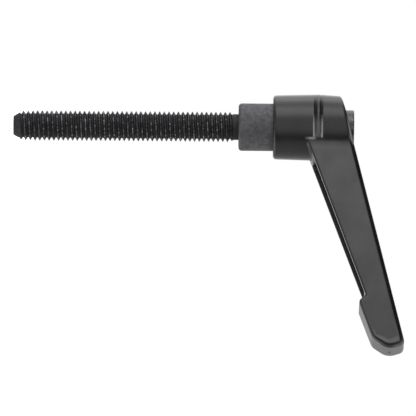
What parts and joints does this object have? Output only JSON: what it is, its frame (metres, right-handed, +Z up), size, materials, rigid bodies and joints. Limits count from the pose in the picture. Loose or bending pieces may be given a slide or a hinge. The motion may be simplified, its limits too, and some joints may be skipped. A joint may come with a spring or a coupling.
{
  "type": "adjustable clamping lever",
  "caption": "Adjustable clamping lever: die-cast handle with a drafted channel arm on a serrated steel insert with a long threaded stud.",
  "frame": {"origin": "centre of the boss's clamping face, on the stud's axis", "axes": "+Z up the stud's axis from the clamped work towards the handle, the stud points along -Z, the arm reaches out along +X and rises away from the work"},
  "size_m": [0.0702, 0.0174, 0.1046],
  "materials": {
    "coated_zinc": "satin black powder coat over die-cast zinc",
    "blackened_steel": "black oxide on turned steel, thread rolled",
    "screw_steel": "black oxide on headed steel",
    "spring_wire": "bright drawn spring wire"
  },
  "bodies": {
    "root": {"threaded_insert": "blackened_steel", "retaining_screw": "screw_steel"},
    "spring": {"return_spring": "spring_wire"},
    "handle": {"lever_handle": "coated_zinc"}
  },
  "joints": [
    {"name": "handle_turn", "type": "hinge", "parent": "root", "child": "spring", "pos_m": [0, 0, 0.0175], "axis": [0, 0, 1], "continuous": true},
    {"name": "handle_lift", "type": "slide", "parent": "spring", "child": "handle", "axis": [0, 0, 1], "range_m": [0, 0.0032], "stiffness_N_per_m": 3000, "springref_m": -0.004, "deforming": ["return_spring"]}
  ]
}
